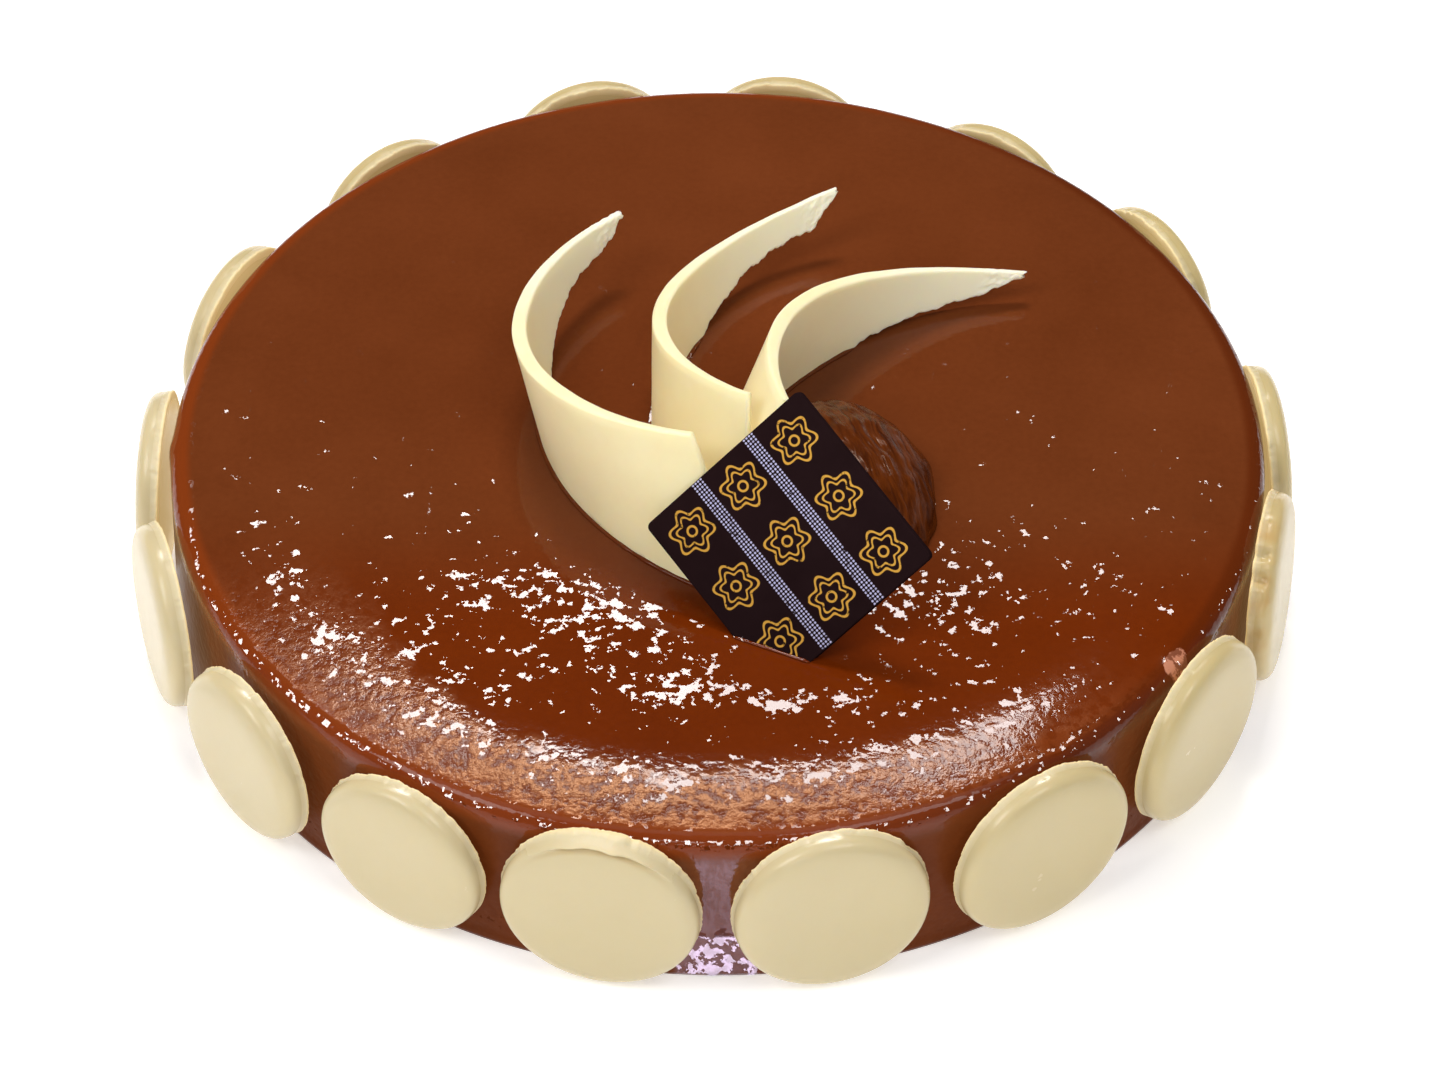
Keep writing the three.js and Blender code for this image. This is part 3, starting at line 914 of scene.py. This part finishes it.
def curl_section(sides, thick, width):
    """The points of a curl's section as (across, down), round from its outer upper corner. Each
    corner has its own points, and so have the narrow edges. The two faces share the rest."""
    edge, corner = 4, 3
    face = (sides - 2 * edge - 4 * corner) // 2
    bend = min(0.45, 0.45 * min(thick, width))
    middle = (thick / 2 - bend, width - 2 * bend)
    points = []
    for turn, (across, down) in enumerate(((1, 0), (1, 1), (-1, 1), (-1, 0))):
        centre = Vector((across * middle[0], bend + down * middle[1]))
        for i in range(corner):
            angle = (turn + i / (corner - 1) - 1) * 90 * DEGREE
            points.append(centre + bend * Vector((math.cos(angle), math.sin(angle))))
        ahead = ((1, 1), (-1, 1), (-1, 0), (1, 0))[turn]
        end = Vector((ahead[0] * middle[0], bend + ahead[1] * middle[1]))
        angle = turn * 90 * DEGREE
        offset = bend * Vector((math.cos(angle), math.sin(angle)))
        steps = face if turn % 2 == 0 else edge
        for i in range(1, steps + 1):
            points.append(centre.lerp(end, i / (steps + 1)) + offset)
    return points


def make_curl(name, finish):
    curl = CURLS[name]
    seed = 10 * int(name[-1])
    to_plaque = plaque_place().inverted()
    half = PLAQUE_SIDE / 2 + GAP

    def blocked(point):
        """Whether the plaque, or for the last curl the one before it, is in the way there."""
        local = to_plaque @ point
        behind = abs(local.x) < half and abs(local.y) < half and local.z > -PLAQUE_THICKNESS - GAP
        return behind or (name == "curl_3" and inside_curl(CURLS["curl_2"], point))

    def corner(along, side):
        """The point of one side at that share of the length, and how frayed it is."""
        thick = curl_thickness(along)
        run = along * CURL_LENGTH
        width = min(between(curl["stations"], curl["widths"], along), CURL_HIGHEST)
        broken = ease(along, 0.5, 0.75)
        tooth = wobble(run, seed, 0, 1.0) + 1.2 * wobble(run, seed + 5, 0, 2.6)
        width = max(width + curl["ragged"] * tooth * broken, 0.5)
        across, down = curl_section(CURL_SIDES, thick, width)[side]
        crumbly = ease(along, 0.90, 0.95)
        frayed = max(ease(down, width - 0.8, width - 0.1) * broken, crumbly)
        lump = 0.08 * wobble(along * 90, down, seed, 9)
        lump += 0.25 * frayed * wobble(run, down, seed, 1.2)
        lump += 0.22 * crumbly * wobble(run, down, seed + 3, 0.7)
        down += 0.45 * crumbly * wobble(run, seed + 7, 2, 0.9) * ease(down, 0, 1)
        top = 0.12 * wobble(run, seed + 9, 0, 6) * (1 - ease(down, 0, 4))
        point = curl_point(curl, along, across - thick / 2 + lump, down + top)
        if point.z < CURL_FOOT:
            rising = curl_frame(curl, along)[1]
            point += rising * ((CURL_FOOT - point.z) / rising.z)
        return point, frayed

    # each side starts where nothing is in its way
    starts = []
    search_step, search_end = 0.002, 0.45
    for side in range(CURL_SIDES):
        start = 0
        while start < search_end and blocked(corner(start, side)[0]):
            start += search_step
        starts.append(start)
    mesh = swept(CURL_SIDES, CURL_STEPS)
    frayed = mesh.verts.layers.float.new("frayed")
    pale = mesh.verts.layers.float.new("pale")
    for vertex in mesh.verts:
        side = side_of(vertex, CURL_SIDES)
        _, down = curl_section(CURL_SIDES, CURL_TIP_THICKNESS, curl["widths"][-1])[side]
        tip = 1 - 0.015 * abs(wobble(down, seed, 5, 0.7))
        along = mix(starts[side], tip, vertex.co.z)
        vertex[pale] = ease(along, 0.5, 0.85)
        vertex.co, vertex[frayed] = corner(along, side)
    return finished(name + "_strip", mesh, finish, "curl_chocolate", name)


# The glaze that stands up where the decorations meet it

def make_bead(name, path, reach, finish):
    """A thin lying tube of glaze along a path of points."""
    mesh = swept(BEAD_SIDES, BEAD_STEPS * (len(path) - 1))
    for vertex in mesh.verts:
        x, y = vertex.co.x, vertex.co.y
        place = vertex.co.z * (len(path) - 1)
        i = min(int(place), len(path) - 2)
        ahead = (path[i + 1] - path[i]).normalized()
        middle = path[i].lerp(path[i + 1], place - i)
        sideways = Vector((ahead.y, -ahead.x, 0)).normalized()
        size = reach * (1 + 0.25 * wobble(middle.x, middle.y, 0, 2.5))
        size *= min(1, 0.3 + place / 2, 0.3 + (len(path) - 1 - place) / 2)
        vertex.co = middle + sideways * x * size + Vector((0, 0, y * size * 0.8))
    return finished(name, mesh, finish, "glaze")


def curl_foot(curl, across, start, steps=40):
    """Where a face of a curl meets the top of the cake."""
    path = []
    for i in range(steps + 1):
        along = mix(start, BEAD_END, i / steps)
        top = curl_point(curl, along, across(curl_thickness(along)), 0)
        rising = curl_frame(curl, along)[1]
        down = (top.z - BEAD_LEVEL) / rising.z
        if down < between(curl["stations"], curl["widths"], along) + 0.3:
            path.append(top - rising * down)
    return path


def make_beads(finish):
    for name, curl in CURLS.items():
        outer = curl_foot(curl, lambda thick: BEAD_OFF, curl["bead"])
        inner = curl_foot(curl, lambda thick: -thick - BEAD_OFF, curl["bead"] + BEAD_LATER)
        make_bead(name + "_outer_bead", outer, BEAD_REACH, finish)
        make_bead(name + "_inner_bead", inner, BEAD_REACH, finish)
    place = plaque_place()
    half = PLAQUE_SIDE / 2
    corners = [place @ Vector((x * half, y * half, BEAD_OFF))
               for x, y in ((1, 1), (-1, 1), (-1, -1), (1, -1))]

    # the two points where the edges of the plaque's face pass through the top of the glaze
    foot = []
    for low, high in zip(corners, corners[1:] + corners[:1]):
        share = (BEAD_LEVEL - low.z) / (high.z - low.z)
        if 0 < share < 1:
            foot.append(low.lerp(high, share))
    path = [foot[0].lerp(foot[1], i / 20) for i in range(21)]
    make_bead("plaque_bead", path, PLAQUE_BEAD_REACH, finish)


# The ganache mound

def make_mound(finish):
    mesh = bmesh.new()
    bmesh.ops.create_icosphere(mesh, subdivisions=MOUND_FINENESS, radius=1)
    for vertex in mesh.verts:
        x, y, z = vertex.co
        turn = math.atan2(y, x)
        lobe = 1 + 0.03 * math.cos(3 * turn + 0.6)
        point = Vector((
            MOUND_CENTRE.x + x * MOUND_REACH.x * lobe, MOUND_CENTRE.y + y * MOUND_REACH.y * lobe,
            CAKE_HEIGHT + z * MOUND_HEIGHT))
        bend = 3 * wobble(*point, 14)
        stroke = wobble(
            point.x * 0.9 + point.y * 0.35 + bend, point.y * 0.16, point.z * 0.5, 2.3)
        lump = 0.8 * wobble(*point, 9) + 0.35 * wobble(*point, 4)
        vertex.co = point + Vector((x, y, z)) * (0.45 * stroke + lump - 0.9)
    bottom = bmesh.ops.bisect_plane(
        mesh, geom=mesh.verts[:] + mesh.edges[:] + mesh.faces[:], dist=1e-5,
        plane_co=(0, 0, MOUND_FOOT), plane_no=(0, 0, 1), clear_inner=True)
    rim = [part for part in bottom["geom_cut"] if isinstance(part, bmesh.types.BMEdge)]
    bmesh.ops.holes_fill(mesh, edges=rim)
    return finished("ganache_dollop", mesh, finish, "ganache", "ganache_mound")


# Camera, floor and lights, in metres

CAMERA_ELEVATION = 44.93 * DEGREE
CAMERA_DISTANCE = 0.96957
CAMERA_ROLL = 0.193 * DEGREE
CAMERA_LENS = 114.69
AIM_RIGHT = 0.00192
AIM_UP = 0.00434


def make_camera():
    back = Vector((0, -math.cos(CAMERA_ELEVATION), math.sin(CAMERA_ELEVATION)))
    up = Vector((0, math.sin(CAMERA_ELEVATION), math.cos(CAMERA_ELEVATION)))
    camera = bpy.data.objects.new("camera", bpy.data.cameras.new("camera"))
    camera.data.lens = CAMERA_LENS
    camera.location = back * CAMERA_DISTANCE
    aim = Vector((AIM_RIGHT, 0, 0)) + up * AIM_UP
    gaze = (aim - camera.location).to_track_quat("-Z", "Y")
    camera.rotation_mode = "QUATERNION"
    camera.rotation_quaternion = gaze @ Quaternion((0, 0, 1), CAMERA_ROLL)
    bpy.context.scene.collection.objects.link(camera)
    bpy.context.scene.camera = camera


LIGHT_DISTANCE = 5

# Soft boxes: name, azimuth (0 the front, 90 the right), elevation, width and height in degrees,
# radiance and tint
LIGHTS = (
    ("back_box", 180, 56.2, 17, 7.4, 40, (1, 0.97, 0.95)),
    ("back_left_box", 199, 56, 20, 7, 11, (1, 0.95, 0.9)),
    ("left_box", -62, 50, 26, 22, 6.3, (1, 0.98, 0.95)),
    ("right_box", 45, 60, 24, 20, 4.5, (1, 1, 1)),
    ("overhead", 0, 84, 60, 16, 0.9, (1, 1, 1)),
    ("low_strip", 0, 14, 40, 1, 18, (1, 1, 1)),
    ("front_strip", -10, 33, 14, 3, 14, (1, 0.99, 0.97)),
)


def make_light(name, azimuth, elevation, width, height, radiance, tint):
    """A soft box that looks at the cake."""
    across = 2 * LIGHT_DISTANCE * math.tan(width / 2 * DEGREE)
    upright = 2 * LIGHT_DISTANCE * math.tan(height / 2 * DEGREE)
    data = bpy.data.lights.new(name, "AREA")
    data.shape = "RECTANGLE"
    data.size = across
    data.size_y = upright
    data.energy = radiance * math.pi * across * upright
    data.color = tint
    light = bpy.data.objects.new(name, data)
    side, up = azimuth * DEGREE, elevation * DEGREE
    toward = Vector((math.sin(side) * math.cos(up), -math.cos(side) * math.cos(up), math.sin(up)))
    light.location = toward * LIGHT_DISTANCE
    light.rotation_mode = "QUATERNION"
    light.rotation_quaternion = toward.to_track_quat("Z", "Y")
    light.visible_camera = False
    bpy.context.scene.collection.objects.link(light)


FLOOR_HALF = 6
FLOOR_WHITE = (0.9, 0.9, 0.9)
FLOOR_GLOW = (1, 0.99, 1)


def make_floor():
    mesh = bmesh.new()
    bmesh.ops.create_grid(mesh, x_segments=1, y_segments=1, size=FLOOR_HALF)
    data = bpy.data.meshes.new("floor")
    mesh.to_mesh(data)
    mesh.free()
    paint = Paint("pale_floor")
    paint.set(Base_Color=FLOOR_WHITE, Roughness=0.7, IOR=1.2,
              Emission_Color=FLOOR_GLOW, Emission_Strength=0.38)
    data.materials.append(paint.material)
    floor = bpy.data.objects.new("floor", data)
    bpy.context.scene.collection.objects.link(floor)


WORLD_FRONT = (0.29, 0.29, 0.30)
WORLD_BACK = (0.09, 0.075, 0.06)
WORLD_BACK_START = 0.42


def make_world():
    """Even light all round, dimmer and warmer behind the cake."""
    world = bpy.data.worlds.new("studio")
    world.use_nodes = True
    bpy.context.scene.world = world
    tree = world.node_tree
    coordinates = tree.nodes.new("ShaderNodeTexCoord")
    split = tree.nodes.new("ShaderNodeSeparateXYZ")
    ramp = tree.nodes.new("ShaderNodeValToRGB")
    tree.links.new(coordinates.outputs["Generated"], split.inputs[0])
    tree.links.new(split.outputs["Y"], ramp.inputs["Fac"])
    tree.links.new(ramp.outputs["Color"], tree.nodes["Background"].inputs["Color"])
    front, back = ramp.color_ramp.elements
    front.position = 0.0
    front.color = (*WORLD_FRONT, 1)
    back.position = WORLD_BACK_START
    back.color = (*WORLD_BACK, 1)


def make_studio():
    make_camera()
    make_floor()
    make_world()
    for light in LIGHTS:
        make_light(*light)
    bpy.context.scene.view_settings.view_transform = "Standard"


make_studio()
glaze = glaze_finish()
make_cake(glaze)
white = disc_finish()
for disc_number in range(1, len(DISCS) + 1):
    make_disc(disc_number, white)
cream = curl_finish()
for curl_name in CURLS:
    make_curl(curl_name, cream)
make_plaque(plaque_finish())
make_mound(ganache_finish())
make_beads(glaze)
